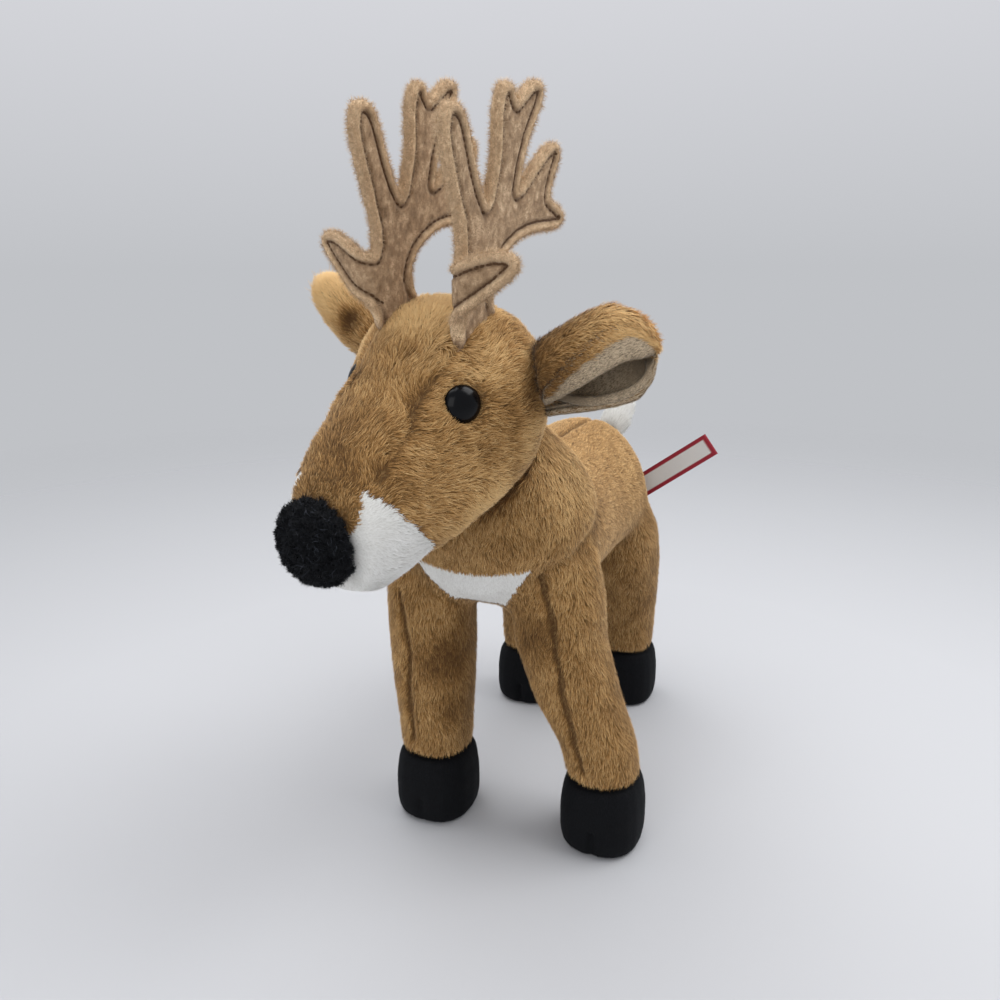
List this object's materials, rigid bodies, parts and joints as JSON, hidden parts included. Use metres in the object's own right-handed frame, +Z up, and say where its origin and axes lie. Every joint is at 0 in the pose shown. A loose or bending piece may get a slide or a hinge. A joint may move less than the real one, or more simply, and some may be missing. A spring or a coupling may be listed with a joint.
{
  "type": "plush toy deer",
  "caption": "Standing stuffed deer with felt antlers, cupped ears, dome eyes, looped black nose, white muzzle and chest, dark hooves, short tail and a bare sewn label.",
  "frame": {"origin": "middle of the toy's own box, at the height of the soles", "axes": "+Z up, the deer faces -Y, its own left side is +X"},
  "size_m": [0.1444, 0.288, 0.3118],
  "materials": {
    "tan_plush": "short-pile plush",
    "white_plush": "short-pile plush",
    "black_plush": "velour",
    "boucle": "looped boucle",
    "lining": "velour",
    "felt": "brushed felt",
    "eye_plastic": "gloss",
    "washer_plastic": "satin",
    "ribbon": "woven satin ribbon"
  },
  "bodies": {
    "torso": {"torso": "tan_plush", "chest_panel": "white_plush", "belly_panel": "white_plush"},
    "neck": {"neck": "tan_plush"},
    "head": {"head": "tan_plush", "muzzle": "white_plush", "nose": "boucle", "eye_left": "eye_plastic", "eye_right": "eye_plastic", "eye_washer_left": "washer_plastic", "eye_washer_right": "washer_plastic"},
    "ear_left": {"ear_left": "tan_plush", "ear_lining_left": "lining"},
    "ear_right": {"ear_right": "tan_plush", "ear_lining_right": "lining"},
    "antler_left": {"antler_outer_felt_left": "felt", "antler_inner_felt_left": "felt"},
    "antler_right": {"antler_outer_felt_right": "felt", "antler_inner_felt_right": "felt"},
    "leg_front_left": {"leg_front_left": "tan_plush", "hoof_front_left": "black_plush"},
    "leg_front_right": {"leg_front_right": "tan_plush", "hoof_front_right": "black_plush"},
    "leg_hind_left": {"leg_hind_left": "tan_plush", "hoof_hind_left": "black_plush"},
    "leg_hind_right": {"leg_hind_right": "tan_plush", "hoof_hind_right": "black_plush"},
    "tail": {"tail": "white_plush"},
    "label": {"sewn_label": "ribbon"}
  },
  "joints": [
    {"name": "neck_turn", "type": "hinge", "parent": "torso", "child": "neck", "pos_m": [-0.0056, -0.0307, 0.148], "axis": [0, -0.5299, 0.848], "range_deg": [-10, 10], "stiffness_Nm_per_rad": 1.5},
    {"name": "head_nod", "type": "hinge", "parent": "neck", "child": "head", "pos_m": [-0.0048, -0.0677, 0.204], "axis": [0.972, -0.2083, -0.1086], "range_deg": [-8, 8], "stiffness_Nm_per_rad": 1.5},
    {"name": "ear_flop_left", "type": "hinge", "parent": "head", "child": "ear_left", "pos_m": [0.03053, -0.07203, 0.20618], "axis": [0.075, -0.1628, 0.9838], "range_deg": [-10, 10], "stiffness_Nm_per_rad": 0.05},
    {"name": "ear_flop_right", "type": "hinge", "parent": "head", "child": "ear_right", "pos_m": [-0.03751, -0.05745, 0.21378], "axis": [0.075, -0.1628, 0.9838], "range_deg": [-10, 10], "stiffness_Nm_per_rad": 0.05},
    {"name": "antler_lean_left", "type": "hinge", "parent": "head", "child": "antler_left", "pos_m": [0.01228, -0.08791, 0.22985], "axis": [0.2227, 0.9644, 0.1426], "range_deg": [-8, 8], "stiffness_Nm_per_rad": 0.1},
    {"name": "antler_lean_right", "type": "hinge", "parent": "head", "child": "antler_right", "pos_m": [-0.02271, -0.08041, 0.23376], "axis": [0.2227, 0.9644, 0.1426], "range_deg": [-8, 8], "stiffness_Nm_per_rad": 0.1},
    {"name": "leg_swing_front_left", "type": "hinge", "parent": "torso", "child": "leg_front_left", "pos_m": [0.0244, -0.0297, 0.126], "axis": [1, 0, 0], "range_deg": [-8, 8], "stiffness_Nm_per_rad": 1},
    {"name": "leg_swing_front_right", "type": "hinge", "parent": "torso", "child": "leg_front_right", "pos_m": [-0.0356, -0.0297, 0.126], "axis": [1, 0, 0], "range_deg": [-8, 8], "stiffness_Nm_per_rad": 1},
    {"name": "leg_swing_hind_left", "type": "hinge", "parent": "torso", "child": "leg_hind_left", "pos_m": [0.0204, 0.0963, 0.122], "axis": [1, 0, 0], "range_deg": [-8, 8], "stiffness_Nm_per_rad": 1},
    {"name": "leg_swing_hind_right", "type": "hinge", "parent": "torso", "child": "leg_hind_right", "pos_m": [-0.0316, 0.0963, 0.122], "axis": [1, 0, 0], "range_deg": [-8, 8], "stiffness_Nm_per_rad": 1},
    {"name": "tail_lift", "type": "hinge", "parent": "torso", "child": "tail", "pos_m": [-0.0016, 0.1223, 0.146], "axis": [1, 0, 0], "range_deg": [-15, 15], "stiffness_Nm_per_rad": 0.05},
    {"name": "label_flap", "type": "hinge", "parent": "torso", "child": "label", "pos_m": [0.0204, 0.1213, 0.1235], "axis": [-0.5878, 0, 0.809], "range_deg": [-15, 15], "stiffness_Nm_per_rad": 0.01}
  ]
}
